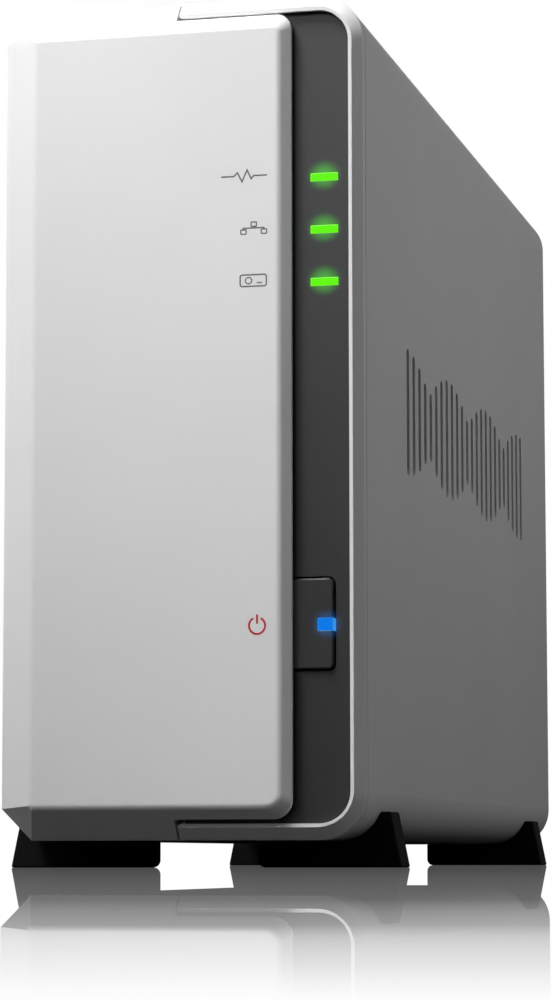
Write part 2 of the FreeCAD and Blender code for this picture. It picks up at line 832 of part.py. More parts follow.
def make_front_frame():
    """White C-shaped frame round the indicator panel, with a tongue inside the cover."""
    frame = new_body("front_frame")
    end = "split_x + slit / 2"
    rim = new_sketch(frame, "XZ_Plane", "rim_y")
    right_rounded(rim, end, "rim_right", "rim_low", "rim_high", "rim_corner")
    edge = new_sketch(frame, "XZ_Plane", "bevel_depth")
    right_rounded(edge, end, "half_width", "underside", "height", "edge_radius")
    loft(frame, rim, edge)
    side = new_sketch(frame, "XZ_Plane", "bevel_depth")
    right_rounded(side, end, "half_width", "underside", "height", "edge_radius")
    pad(frame, side, "seam_y - seam_gap / 2 - bevel_depth")
    tongue = new_sketch(frame, "XZ_Plane", "seam_y - seam_gap / 2")
    right_rounded(tongue, "tongue_reach + 1", "half_width - skin - slide_gap",
                  "underside + skin + slide_gap", "height - skin - slide_gap",
                  "edge_radius - skin - slide_gap")
    pad(frame, tongue, "frame_tongue")
    opening = new_sketch(frame, "XZ_Plane", "0")
    right_rounded(opening, "split_x - 2", "frame_right", "frame_low", "frame_high", "frame_corner")
    pocket(frame, opening, "panel_y + panel_thick + panel_play")
    ends = [value("frame_low"), value("frame_high")]
    soften(frame, "Fillet", "frame_end_round", lambda middle, way: runs_along(way, Vector(0, 1, 0))
           and abs(middle.x - value(end)) < 0.01 and min(abs(middle.z - z) for z in ends) < 0.01)
    groove = new_sketch(frame, "XZ_Plane", "rim_y + frame_lip")
    right_rounded(groove, "split_x - 2", "frame_right + frame_groove", "frame_low - frame_groove",
                  "frame_high + frame_groove", "frame_corner + frame_groove")
    pocket(frame, groove, "panel_y + panel_thick + panel_play - rim_y - frame_lip")
    inside = new_sketch(frame, "XZ_Plane", "panel_y + panel_thick")
    right_rounded(inside, "split_x - 2", "half_width - skin - slide_gap - tongue",
                  "underside + skin + slide_gap + tongue",
                  "height - skin - slide_gap - tongue", "frame_corner - 1")
    pocket(frame, inside, "frame_inside")


def make_indicator_panel():
    """Dark panel set back behind the frame, with windows for the lights and the button."""
    panel = new_body("indicator_panel")
    sheet = new_sketch(panel, "XZ_Plane", "panel_y")
    right_rounded(sheet, "panel_left", "frame_right + frame_groove - panel_gap",
                  "frame_low - frame_groove + panel_gap", "frame_high + frame_groove - panel_gap",
                  "frame_corner + frame_groove - panel_gap")
    pad(panel, sheet, "panel_thick")
    posts = new_sketch(panel, "XZ_Plane", "panel_y + panel_thick")
    for x, z in CIRCUIT_SCREWS:
        circle(posts, x, z, "post_radius")
    pad(panel, posts, "circuit_y - panel_y - panel_thick")
    openings = new_sketch(panel, "XZ_Plane", "panel_y - over")
    for index in range(3):
        low, high = light_heights(index)
        rectangle(openings, "light_x - light_wide / 2", "light_x + light_wide / 2", low, high)
    right_rounded(openings, "button_left - button_gap", "button_right + button_gap",
                  "button_low - button_gap", "button_high + button_gap", "button_corner + button_gap")
    pocket(panel, openings, "panel_thick + 2 * over")
    bores = new_sketch(panel, "XZ_Plane", "panel_y + panel_thick - circuit_thread")
    for x, z in CIRCUIT_SCREWS:
        circle(bores, x, z, "screw_shank + screw_play")
    pocket(panel, bores, "circuit_y - panel_y - panel_thick + 2 * over")


def light_heights(index):
    centre = "light_z + %d * light_pitch" % index
    return centre + " - light_tall / 2", centre + " + light_tall / 2"


def make_lights():
    """Three bar light guides, each with a flange behind the panel and a lamp on the board."""
    for index in range(3):
        low, high = light_heights(index)
        guide = new_body("light_guide_%d" % (index + 1))
        stem = new_sketch(guide, "XZ_Plane", "panel_y - guide_proud")
        rectangle(stem, "light_x - light_wide / 2", "light_x + light_wide / 2", low, high)
        pad(guide, stem, "panel_thick + guide_proud")
        flange = new_sketch(guide, "XZ_Plane", "panel_y + panel_thick")
        rectangle(flange, "light_x - light_wide / 2 - guide_flange",
                  "light_x + light_wide / 2 + guide_flange",
                  low + " - guide_flange", high + " + guide_flange")
        pad(guide, flange, "guide_flange_thick")
        lamp = block("status_lamp_%d" % (index + 1), "light_x - lamp_wide / 2", "circuit_y - lamp_deep",
                     "light_z + %d * light_pitch - lamp_tall / 2" % index,
                     "lamp_wide", "lamp_deep", "lamp_tall")
        finished("status_lamp_%d" % (index + 1), lamp)


def make_power_button():
    """Dark push button that disappears behind the front plate's lip on its left."""
    button = new_body("power_button")
    cap = new_sketch(button, "XZ_Plane", "button_y")
    right_rounded(cap, "button_left", "button_right", "button_low", "button_high", "button_corner")
    pad(button, cap, "panel_y + panel_thick - button_y + panel_play")
    stem = new_sketch(button, "XZ_Plane", "panel_y + panel_thick + panel_play")
    circle(stem, "stem_x", "(button_low + button_high) / 2", "stem_radius")
    pad(button, stem, "stem_long")
    front = value("button_y")
    left = value("button_left")
    soften(button, "Chamfer", "button_edge", lambda middle, way: abs(middle.y - front) < 0.01
           and middle.x > left + 0.1)
    window = new_sketch(button, "XZ_Plane", "button_y - over")
    rectangle(window, "lens_left", "button_right + 1", "lens_low", "lens_high")
    pocket(button, window, "panel_y + panel_thick - button_y + 1")

    lens = new_body("button_lens")
    bar = new_sketch(lens, "XZ_Plane", "button_y + lens_inset")
    rectangle(bar, "lens_left", "button_right - lens_inset", "lens_low", "lens_high")
    pad(lens, bar, "panel_y + panel_thick - button_y")
    end = value("lens_left")
    soften(lens, "Fillet", "lens_corner", lambda middle, way: runs_along(way, Vector(0, 1, 0))
           and abs(middle.x - end) < 0.01)


def make_indicator_circuit():
    """Small upright board with the lamps, the button's switch and a lead socket."""
    circuit = new_body("indicator_board")
    sheet = new_sketch(circuit, "XZ_Plane", "circuit_y")
    rectangle(sheet, "circuit_left", "circuit_right", "circuit_low", "circuit_high")
    pad(circuit, sheet, "circuit_thick")
    holes = new_sketch(circuit, "XZ_Plane", "circuit_y - over")
    for x, z in CIRCUIT_SCREWS:
        circle(holes, x, z, "screw_shank + screw_play")
    pocket(circuit, holes, "circuit_thick + 2 * over")
    spots = [(x, "circuit_y + circuit_thick", z) for x, z in CIRCUIT_SCREWS]
    screws("indicator_board_screws", "y", spots, "circuit_screw", flip=True)

    centre = "(button_low + button_high) / 2"
    can = block("power_switch_can", "stem_x - switch_side / 2", "circuit_y - switch_deep",
                centre + " - switch_side / 2", "switch_side", "switch_deep", "switch_side")
    finished("power_switch", can)
    lamp = block("power_lamp_block", "lens_left + power_lamp_inset", "circuit_y - power_lamp_deep",
                 "lens_low + power_lamp_inset", "power_lamp_wide", "power_lamp_deep", "power_lamp_tall")
    finished("power_lamp", lamp)


# ---------------------------------------------------------------- feet

def make_foot(label, side, front):
    """A flared foot that wraps the long edge of the case; side is 1 right, -1 left."""
    foot = new_body(label)
    sign = "" if side > 0 else "-"
    section = new_sketch(foot, "XZ_Plane", front)
    polygon(section, [
        (sign + "foot_inner", "0"), (sign + "foot_outer", "0"),
        (sign + "foot_top_outer", "foot_top"), (sign + "foot_inner", "foot_top"),
    ])
    pad(foot, section, "foot_length")
    inner = side * value("foot_inner")
    soften(foot, "Fillet", "foot_round", lambda middle, way: runs_along(way, Vector(0, 1, 0))
           and abs(middle.x - inner) < 0.01 and abs(middle.z) < 0.01)
    case = new_sketch(foot, "XZ_Plane", front + " - 1")
    if side > 0:
        right_rounded(case, "0", "half_width", "underside", "height / 2", "edge_radius")
    else:
        polygon(case, [
            ("0", "underside"), ("edge_chamfer - half_width", "underside"),
            ("-half_width", "underside + edge_chamfer"), ("-half_width", "height / 2"),
            ("0", "height / 2"),
        ])
    pocket(foot, case, "foot_length + 2")


# ---------------------------------------------------------------- rear panel and fan

def ring_quarter(sketch, inner, outer, spoke):
    """One quarter of a ring slot, between spokes of the given width."""
    r0, r1, half = value(inner), value(outer), value(spoke) / 2
    low0 = math.degrees(math.asin(half / r0))
    low1 = math.degrees(math.asin(half / r1))
    base = sketch.GeometryCount
    rim_in = arc(Vector(), r0, low0, 90 - low0)
    rim_out = arc(Vector(), r1, low1, 90 - low1)
    sketch.addGeometry([
        rim_in,
        rim_out,
        Part.LineSegment(rim_in.StartPoint, rim_out.StartPoint),
        Part.LineSegment(rim_in.EndPoint, rim_out.EndPoint),
    ], False)
    for ring, radius in ((base, inner), (base + 1, outer)):
        hold(sketch, "Coincident", ring, 3, -1, 1)
        hold(sketch, "Radius", ring, radius)
    for line, end in ((base + 2, 1), (base + 3, 2)):
        hold(sketch, "Coincident", line, 1, base, end)
        hold(sketch, "Coincident", line, 2, base + 1, end)
    hold(sketch, "DistanceY", -1, 1, base + 2, 1, "%s / 2" % spoke)
    hold(sketch, "DistanceY", -1, 1, base + 2, 2, "%s / 2" % spoke)
    hold(sketch, "DistanceX", -1, 1, base + 3, 1, "%s / 2" % spoke)
    hold(sketch, "DistanceX", -1, 1, base + 3, 2, "%s / 2" % spoke)


def fan_corners():
    return [("fan_x + %d * fan_pitch / 2" % sx, "fan_z + %d * fan_pitch / 2" % sz)
            for sx in (-1, 1) for sz in (-1, 1)]


def make_rear_panel():
    """Rear wall set in from the edges, with a fan guard and the socket openings."""
    panel = new_body("rear_panel", "fan_x", "0", "fan_z")
    level = "depth - rear_inset - rear_thick"
    outline = new_sketch(panel, "XZ_Plane", level)
    low = "underside + skin + slide_gap + tongue + panel_play - fan_z"
    high = "height - skin - slide_gap - tongue - panel_play - fan_z"
    cut = "edge_chamfer"
    right = "half_width - skin - seam_gap - fan_x"
    left = "skin - half_width - fan_x"
    polygon(outline, [
        (left + " + " + cut, low), (right + " - " + cut, low), (right, low + " + " + cut),
        (right, high + " - " + cut), (right + " - " + cut, high), (left + " + " + cut, high),
        (left, high + " - " + cut), (left, low + " + " + cut),
    ])
    pad(panel, outline, "rear_thick")

    guard = new_sketch(panel, "XZ_Plane", level + " - over")
    for ring in range(int(value("guard_rings"))):
        inner = "(guard_inner + %d * guard_step)" % ring
        ring_quarter(guard, inner, "(%s + guard_slot)" % inner, "guard_spoke")
    quarter = pocket(panel, guard, "rear_thick + 2 * over")
    repeat(panel, quarter, "PolarPattern", "Y_Axis", 4)

    ports = new_sketch(panel, "XZ_Plane", level + " - over", "-fan_x", "-fan_z")
    lan_left = "board_x + board_thick"
    rectangle(ports, lan_left + " - port_play", lan_left + " + lan_tall + port_play",
              "lan_z - lan_wide / 2 - port_play", "lan_z + lan_wide / 2 + port_play")
    for z in ("usb_low_z", "usb_high_z"):
        rectangle(ports, usb_left() + " - port_play", usb_left() + " + usb_tall + port_play",
                  z + " - usb_wide / 2 - port_play", z + " + usb_wide / 2 + port_play")
    circle(ports, power_x(), "power_z", "power_neck + port_play / 2")
    circle(ports, "reset_x", "reset_z", "reset_hole")
    rectangle(ports, "lock_left", "lock_right", "lock_low", "lock_high")
    for x, z in fan_corners():
        circle(ports, x, z, "screw_shank + screw_play")
    for z in ("flange_screw_low", "flange_screw_high"):
        circle(ports, "flange_screw_x", z, "screw_shank + screw_play")
    pocket(panel, ports, "rear_thick + 2 * over")


def usb_left():
    return "board_x + board_thick + usb_rise"


def power_x():
    return "board_x + board_thick + power_wide / 2"


def make_fan_frame():
    """The square frame of the fan, with the motor's mount on four struts."""
    frame = new_body("fan_frame", "fan_x", "(depth - rear_inset - rear_thick - fan_thick)", "fan_z")
    square = new_sketch(frame, "XZ_Plane", "0")
    rectangle(square, "-fan_side / 2", "fan_side / 2", "-fan_side / 2", "fan_side / 2")
    pad(frame, square, "fan_thick")
    duct = new_sketch(frame, "XZ_Plane", "-over")
    circle(duct, "0", "0", "fan_bore")
    pocket(frame, duct, "fan_thick + 2 * over")
    mount = new_sketch(frame, "XZ_Plane", "fan_thick - mount_thick")
    circle(mount, "0", "0", "hub_radius")
    pad(frame, mount, "mount_thick")
    strut = new_sketch(frame, "XZ_Plane", "fan_thick - mount_thick")
    rectangle(strut, "hub_radius - strut_root", "fan_bore + strut_end", "-strut_half", "strut_half")
    arm = pad(frame, strut, "mount_thick")
    repeat(frame, arm, "PolarPattern", "Y_Axis", 4)
    post = new_sketch(frame, "XZ_Plane", "post_start")
    circle(post, "0", "0", "fan_post")
    pad(frame, post, "fan_thick - mount_thick - post_start")
    bore = new_sketch(frame, "XZ_Plane", "fan_bore_start")
    circle(bore, "0", "0", "shaft_radius + shaft_play")
    pocket(frame, bore, "fan_thick - fan_bore_start - fan_bore_end")
    corners = new_sketch(frame, "XZ_Plane", "-over")
    for sx in (-1, 1):
        for sz in (-1, 1):
            circle(corners, "%d * fan_pitch / 2" % sx, "%d * fan_pitch / 2" % sz,
                   "screw_shank + screw_play")
    pocket(frame, corners, "fan_thick + 2 * over")


def make_fan_stator():
    """The motor's coil, a ring round the fan frame's post."""
    start = "(depth - rear_inset - rear_thick - fan_thick + coil_start)"
    coil = rod("fan_stator_coil", "y", "fan_x", start, "fan_z", "coil_radius", "coil_long")
    core = rod("fan_stator_core", "y", "fan_x", start + " - 1", "fan_z", "fan_post + core_play",
               "core_long")
    finished("fan_stator", without("fan_stator", coil, core))


def make_fan_rotor():
    """The fan's cup-shaped hub with its shaft and blades."""
    rotor = new_body("fan_rotor", "fan_x", "(depth - rear_inset - rear_thick - fan_thick)", "fan_z")
    cup = new_sketch(rotor, "XZ_Plane", "cup_start")
    circle(cup, "0", "0", "hub_radius")
    pad(rotor, cup, "cup_deep")
    hollow = new_sketch(rotor, "XZ_Plane", "cup_start + cup_floor")
    circle(hollow, "0", "0", "hub_radius - cup_wall")
    pocket(rotor, hollow, "cup_deep")
    shaft = new_sketch(rotor, "XZ_Plane", "shaft_start")
    circle(shaft, "0", "0", "shaft_radius")
    pad(rotor, shaft, "shaft_long")
    root = new_sketch(rotor, "YZ_Plane", "hub_radius - blade_root")
    polygon(root, BLADE_ROOT)
    tip = new_sketch(rotor, "YZ_Plane", "fan_bore - blade_tip_gap")
    polygon(tip, BLADE_TIP)
    blade = loft(rotor, root, tip)
    repeat(rotor, blade, "PolarPattern", "Y_Axis", int(value("blade_count")))


def make_fan_screws():
    spots = [(x, "depth - rear_inset", z) for x, z in fan_corners()]
    screws("fan_screws", "y", spots, "fan_screw", flip=True)


# ---------------------------------------------------------------- boards and sockets

def make_mainboard():
    """L-shaped upright circuit board beside the drive, with its sockets and chips."""
    board = new_body("mainboard")
    outline = new_sketch(board, "YZ_Plane", "board_x")
    polygon(outline, [
        ("board_front", "board_low"), ("board_rear", "board_low"),
        ("board_rear", "board_wing_low"), ("board_wing", "board_wing_low"),
        ("board_wing", "board_wing_high"), ("board_step", "board_wing_high"),
        ("board_step", "board_shelf"), ("board_front", "board_shelf"),
    ])
    pad(board, outline, "board_thick")
    holes = new_sketch(board, "YZ_Plane", "board_x - over")
    for y, z in BOARD_SCREWS:
        circle(holes, y, z, "screw_shank + screw_play")
    pocket(board, holes, "board_thick + 2 * over")
    spots = [("board_x + board_thick", y, z) for y, z in BOARD_SCREWS]
    screws("mainboard_screws", "x", spots, "board_screw", flip=True)


def make_chips():
    """Processor under a finned heat sink, memory, flash, and the regulator's capacitors."""
    top = "board_x + board_thick"
    chip = block("processor_package", top, "chip_y", "chip_z", "chip_thick", "chip_side", "chip_side")
    finished("processor", chip)
    make_heat_sink(top + " + chip_thick")
    for index in range(2):
        name = "memory_chip_%d" % (index + 1)
        package = block(name + "_package", top, "memory_y", "memory_z + %d * memory_pitch" % index,
                        "package_thick", "memory_wide", "memory_tall")
        finished(name, package)
    package = block("flash_package", top, "flash_y", "flash_z", "package_thick", "flash_wide", "flash_tall")
    finished("flash_chip", package)
    cans = [rod("capacitor_%d" % (index + 1), "x", top, "can_y + %d * can_pitch" % index, "can_z",
                "can_radius", "can_tall")
            for index in range(3)]
    grouped("capacitors", cans)


def make_heat_sink(level):
    """A sole with upright fins, wider than the processor all round."""
    sink = new_body("heat_sink")
    sole = new_sketch(sink, "YZ_Plane", level)
    left, low = "chip_y - sink_edge", "chip_z - sink_edge"
    high = "chip_z + chip_side + sink_edge"
    rectangle(sole, left, "chip_y + chip_side + sink_edge", low, high)
    pad(sink, sole, "sink_tall")
    gap = new_sketch(sink, "YZ_Plane", level + " + sink_sole")
    rectangle(gap, left + " + fin_start", left + " + fin_start + fin_gap", low + " - over", high + " + over")
    first = pocket(sink, gap, "sink_tall")
    repeat(sink, first, "LinearPattern", "Y_Axis", int(value("fin_count")), "fin_span")


def make_lan_socket():
    """Network socket with its stepped opening towards the rear."""
    left = "board_x + board_thick"
    front = "depth - rear_inset - lan_deep"
    socket = new_body("lan_socket")
    shell = new_sketch(socket, "XZ_Plane", front)
    rectangle(shell, left, left + " + lan_tall", "lan_z - lan_wide / 2", "lan_z + lan_wide / 2")
    pad(socket, shell, "lan_deep")
    mouth = new_sketch(socket, "XZ_Plane", front + " + lan_back")
    rectangle(mouth, left + " + lan_base", left + " + lan_base + lan_mouth_tall",
              "lan_z - lan_mouth_half", "lan_z + lan_mouth_half")
    pocket(socket, mouth, "lan_deep")
    latch = new_sketch(socket, "XZ_Plane", front + " + latch_back")
    rectangle(latch, left + " + latch_low", left + " + latch_high",
              "lan_z - latch_half", "lan_z + latch_half")
    pocket(socket, latch, "lan_deep")


def make_usb_socket(label, centre):
    """Type A socket on a raised carrier, with its contact tongue."""
    left = usb_left()
    front = "depth - rear_inset - usb_deep"
    socket = new_body(label)
    shell = new_sketch(socket, "XZ_Plane", front)
    rectangle(shell, left, left + " + usb_tall", centre + " - usb_wide / 2",
              centre + " + usb_wide / 2")
    pad(socket, shell, "usb_deep")
    mouth = new_sketch(socket, "XZ_Plane", front + " + usb_back")
    rectangle(mouth, left + " + usb_wall", left + " + usb_tall - usb_wall",
              centre + " - usb_wide / 2 + usb_wall", centre + " + usb_wide / 2 - usb_wall")
    pocket(socket, mouth, "usb_deep")
    tongue = new_sketch(socket, "XZ_Plane", front + " + usb_tongue_back")
    rectangle(tongue, left + " + usb_tongue_low", left + " + usb_tongue_high",
              centre + " - usb_tongue_half", centre + " + usb_tongue_half")
    pad(socket, tongue, "usb_deep - usb_tongue_inset")
    carrier = new_sketch(socket, "XZ_Plane", front + " + usb_tongue_back")
    rectangle(carrier, "board_x + board_thick", left + " + usb_carrier_lap",
              centre + " - usb_carrier_half", centre + " + usb_carrier_half")
    pad(socket, carrier, "usb_deep - usb_carrier_inset")


def make_power_socket():
    """Round low-voltage inlet with a centre pin."""
    front = "depth - rear_inset - power_deep"
    left = "board_x + board_thick"
    socket = new_body("power_socket")
    shell = new_sketch(socket, "XZ_Plane", front)
    rectangle(shell, left, left + " + power_wide",
              "power_z - power_side / 2", "power_z + power_side / 2")
    pad(socket, shell, "power_deep - rear_thick")
    neck = new_sketch(socket, "XZ_Plane", front + " + power_deep - power_neck_long")
    circle(neck, power_x(), "power_z", "power_neck")
    pad(socket, neck, "power_neck_long")
    bore = new_sketch(socket, "XZ_Plane", front + " + power_bore_back")
    circle(bore, power_x(), "power_z", "power_bore")
    pocket(socket, bore, "power_deep")
    pin = new_sketch(socket, "XZ_Plane", front + " + power_pin_back")
    circle(pin, power_x(), "power_z", "power_pin")
    pad(socket, pin, "power_pin_long")


def make_reset_switch():
    """Recessed reset switch: a carrier board, the switch body and its plunger."""
    front = "(depth - rear_inset - rear_thick)"
    carrier = new_body("reset_carrier")
    sheet = new_sketch(carrier, "XY_Plane", "reset_z - carrier_drop")
    rectangle(sheet, "board_x + board_thick", "reset_x + reset_side / 2", "carrier_front",
              front + " - carrier_gap")
    pad(carrier, sheet, "carrier_thick")
    case = new_body("reset_switch")
    can = new_sketch(case, "XZ_Plane", front + " - reset_start")
    rectangle(can, "reset_x - reset_side / 2", "reset_x + reset_side / 2",
              "reset_z - reset_side / 2", "reset_z + reset_side / 2")
    pad(case, can, "reset_deep")
    bore = new_sketch(case, "XZ_Plane", front + " - reset_bore")
    circle(bore, "reset_x", "reset_z", "plunger_radius + plunger_play")
    pocket(case, bore, "reset_bore")
    plunger = new_body("reset_plunger")
    stem = new_sketch(plunger, "XZ_Plane", front + " - plunger_start")
    circle(stem, "reset_x", "reset_z", "plunger_radius")
    pad(plunger, stem, "plunger_long")


def make_drive_socket():
    """Right-angle drive socket on the board, facing forward to the drive's plug."""
    left = "board_x + board_thick"
    body = block("drive_socket_block", left, "drive_socket_y", "drive_socket_z",
                 "drive_socket_rise", "drive_socket_deep", "drive_socket_tall")
    slot = block("drive_socket_slot", left + " + drive_slot_rise", "drive_socket_y - over",
                 "drive_socket_z + drive_slot_in", "drive_slot_wide", "drive_slot_deep + over",
                 "drive_socket_tall - 2 * drive_slot_in")
    finished("drive_socket", without("drive_socket", body, slot))


# ---------------------------------------------------------------- hard drive and its brackets

def make_drive():
    """A sealed 3.5 inch drive on its long edge: casting, lid, circuit board and plug."""
    casting = new_body("drive_casting")
    section = new_sketch(casting, "YZ_Plane", "drive_left")
    rectangle(section, "drive_front", "drive_rear", "drive_low", "drive_high")
    pad(casting, section, "drive_right - drive_left - lid_thick")
    along_x = Vector(1, 0, 0)
    soften(casting, "Fillet", "drive_corner", lambda middle, way: runs_along(way, along_x))
    for start in ("drive_low - over", "drive_high - drive_thread"):
        holes = new_sketch(casting, "XY_Plane", start)
        for y in DRIVE_SCREWS_Y:
            circle(holes, DRIVE_SCREW_X, y, "screw_shank + screw_play")
        pocket(casting, holes, "drive_thread + over")

    lid = new_body("drive_lid")
    cap = new_sketch(lid, "YZ_Plane", "drive_right - lid_thick")
    rectangle(cap, "drive_front + lid_edge", "drive_rear - lid_edge",
              "drive_low + lid_edge", "drive_high - lid_edge")
    pad(lid, cap, "lid_thick")
    soften(lid, "Fillet", "lid_corner", lambda middle, way: runs_along(way, along_x))
    hub = new_sketch(lid, "YZ_Plane", "drive_right - lid_dent")
    circle(hub, "drive_front + lid_hub_y", "(drive_low + drive_high) / 2", "lid_hub")
    pocket(lid, hub, "lid_dent + over")

    board = new_body("drive_board")
    sheet = new_sketch(board, "YZ_Plane", "drive_left - drive_board_thick")
    rear = "drive_rear - drive_board_edge"
    low, high = "drive_low + drive_board_inset", "drive_high - drive_board_inset"
    polygon(sheet, [
        (rear, low), (rear, high), ("drive_rear - drive_board_wide", high),
        ("drive_rear - drive_board_long", "drive_low + drive_board_low"),
        ("drive_rear - drive_board_long", low),
    ])
    pad(board, sheet, "drive_board_thick")
    plug = block("drive_plug_block", "drive_left", "drive_rear", "drive_low + plug_rise",
                 "plug_wide", "plug_deep", "plug_tall")
    finished("drive_plug", plug)


def make_brackets():
    """Two folded steel rails that hold the drive by its long edges."""
    wall = "skin - half_width"
    low = "drive_low - bracket_thick"
    lower = prism("drive_bracket_lower", "XZ_Plane", "bracket_front", "bracket_long", [
        (wall, "bracket_foot_low"), (wall + " + bracket_thick", "bracket_foot_low"),
        (wall + " + bracket_thick", low), ("bracket_reach", low),
        ("bracket_reach", "drive_low"), (wall, "drive_low"),
    ])
    high = "drive_high + bracket_thick"
    upper = prism("drive_bracket_upper", "XZ_Plane", "bracket_front", "bracket_long", [
        (wall, "bracket_foot_high"), (wall + " + bracket_thick", "bracket_foot_high"),
        (wall + " + bracket_thick", "drive_high"), ("bracket_reach", "drive_high"),
        ("bracket_reach", high), (wall, high),
    ])
    for rail, start, screws_below in ((lower, low + " - over", True), (upper, "drive_high - over", False)):
        drive_holes = new_sketch(rail, "XY_Plane", start)
        for y in DRIVE_SCREWS_Y:
            circle(drive_holes, DRIVE_SCREW_X, y, "screw_shank + screw_play")
        pocket(rail, drive_holes, "bracket_thick + 2 * over")
        wall_holes = new_sketch(rail, "YZ_Plane", wall + " - over")
        for y, z in BRACKET_SCREWS:
            if (value(z) < value("drive_low")) == screws_below:
                circle(wall_holes, y, z, "screw_shank + screw_play")
        pocket(rail, wall_holes, "bracket_thick + 2 * over")
    screws("bracket_screws", "x", [(wall + " + bracket_thick", y, z) for y, z in BRACKET_SCREWS],
           "rail_screw", flip=True)
    screws("drive_screws_lower", "z", [(DRIVE_SCREW_X, y, low) for y in DRIVE_SCREWS_Y],
           "drive_screw")
    screws("drive_screws_upper", "z", [(DRIVE_SCREW_X, y, high) for y in DRIVE_SCREWS_Y],
           "drive_screw", flip=True)


def make_cover_screws():
    heights = ("flange_screw_low", "flange_screw_high")
    spots = [("flange_screw_x", "depth - flange_inset", z) for z in heights]
    screws("cover_screws", "y", spots, "case_screw", flip=True)


# ---------------------------------------------------------------- the whole object

def make_everything():
    make_front_plate()
    make_left_shell()
    make_cover()
    make_vent_louvre()
    make_front_frame()
    make_indicator_panel()
    make_lights()
    make_power_button()
    make_indicator_circuit()
    for row, front in (("front", "front_foot_y"), ("rear", "rear_foot_y")):
        make_foot("foot_%s_left" % row, -1, front)
        make_foot("foot_%s_right" % row, 1, front)
    make_rear_panel()
    make_fan_frame()
    make_fan_stator()
    make_fan_rotor()
    make_fan_screws()
    make_mainboard()
    make_chips()
    make_lan_socket()
    make_usb_socket("usb_socket_lower", "usb_low_z")
    make_usb_socket("usb_socket_upper", "usb_high_z")
    make_power_socket()
    make_reset_switch()
    make_drive_socket()
    make_drive()
    make_brackets()
    make_cover_screws()


def check_and_write():
    doc.recompute()
    for item in doc.Objects:
        if "Invalid" in item.State or "Error" in item.State:
            raise RuntimeError("%s failed: %s" % (item.Label, item.State))
    os.makedirs("parts", exist_ok=True)
    for item in SUBPARTS:
        if item.Shape.isNull() or not item.Shape.isValid():
            raise RuntimeError("bad shape in " + item.Label)
        item.Shape.exportStep("parts/%s.step" % item.Label)
        print("%-24s %d solids %10.1f mm3" % (item.Label, len(item.Shape.Solids), item.Shape.Volume))


make_everything()
check_and_write()
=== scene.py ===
"""Looks of a single-bay network storage box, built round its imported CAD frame."""
import json
import math
import bmesh
import bpy
from mathutils import Matrix, Vector


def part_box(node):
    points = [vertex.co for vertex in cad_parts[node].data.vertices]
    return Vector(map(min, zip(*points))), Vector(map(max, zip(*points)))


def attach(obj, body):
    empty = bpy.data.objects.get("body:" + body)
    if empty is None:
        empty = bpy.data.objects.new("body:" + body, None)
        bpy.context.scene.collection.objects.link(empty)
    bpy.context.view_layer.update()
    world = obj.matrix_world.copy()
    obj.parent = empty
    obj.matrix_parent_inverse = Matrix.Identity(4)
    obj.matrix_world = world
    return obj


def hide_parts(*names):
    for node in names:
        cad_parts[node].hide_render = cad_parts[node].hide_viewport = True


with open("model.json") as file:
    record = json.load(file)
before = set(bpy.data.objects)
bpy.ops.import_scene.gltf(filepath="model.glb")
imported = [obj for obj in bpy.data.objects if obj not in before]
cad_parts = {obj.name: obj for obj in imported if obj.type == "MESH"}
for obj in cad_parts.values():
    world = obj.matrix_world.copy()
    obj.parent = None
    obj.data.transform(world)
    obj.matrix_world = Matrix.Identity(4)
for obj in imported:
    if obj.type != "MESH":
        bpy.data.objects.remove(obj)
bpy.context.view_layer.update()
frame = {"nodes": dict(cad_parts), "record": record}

NODES = frame["nodes"]
MM = 0.001
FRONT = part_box("front_plate")[0].y


# ---------------------------------------------------------------- shader tools

class Shader:
    """Builds one node material from short calls."""

    def __init__(self, name):
        self.material = bpy.data.materials.new(name)
        self.material.use_nodes = True
        self.tree = self.material.node_tree
        self.bsdf = self.tree.nodes["Principled BSDF"]
        self.place = self.add("ShaderNodeTexCoord").outputs["Object"]

    def add(self, kind, **settings):
        node = self.tree.nodes.new(kind)
        for key, setting in settings.items():
            setattr(node, key, setting)
        return node

    def join(self, source, target):
        self.tree.links.new(source, target)

    def noise(self, scale, detail=3.0, rough=0.5, stretch=None):
        node = self.add("ShaderNodeTexNoise")
        node.inputs["Scale"].default_value = scale
        node.inputs["Detail"].default_value = detail
        node.inputs["Roughness"].default_value = rough
        place = self.place
        if stretch:
            mapping = self.add("ShaderNodeMapping")
            mapping.inputs["Scale"].default_value = stretch
            self.join(place, mapping.inputs["Vector"])
            place = mapping.outputs["Vector"]
        self.join(place, node.inputs["Vector"])
        return node.outputs["Fac"]

    def ramp(self, source, low, high, span=(0.3, 0.7)):
        node = self.add("ShaderNodeValToRGB")
        for element, place, colour in zip(node.color_ramp.elements, span, (low, high)):
            element.position = place
            element.color = (*colour, 1)
        self.join(source, node.inputs["Fac"])
        return node.outputs["Color"]

    def spread(self, source, low, high, first=0.0, last=1.0):
        node = self.add("ShaderNodeMapRange")
        for key, number in (("From Min", first), ("From Max", last), ("To Min", low), ("To Max", high)):
            node.inputs[key].default_value = number
        self.join(source, node.inputs["Value"])
        return node.outputs["Result"]

    def math(self, operation, first, second=0.0):
        node = self.add("ShaderNodeMath", operation=operation)
        for socket, item in zip(node.inputs, (first, second)):
            if isinstance(item, (int, float)):
                socket.default_value = item
            else:
                self.join(item, socket)
        return node.outputs[0]

    def bump(self, source, strength, distance):
        node = self.add("ShaderNodeBump")
        node.inputs["Strength"].default_value = strength
        node.inputs["Distance"].default_value = distance
        self.join(source, node.inputs["Height"])
        self.join(node.outputs["Normal"], self.bsdf.inputs["Normal"])

    def finish(self, **values):
        for key, number in values.items():
            self.bsdf.inputs[key.replace("_", " ")].default_value = number
        return self.material


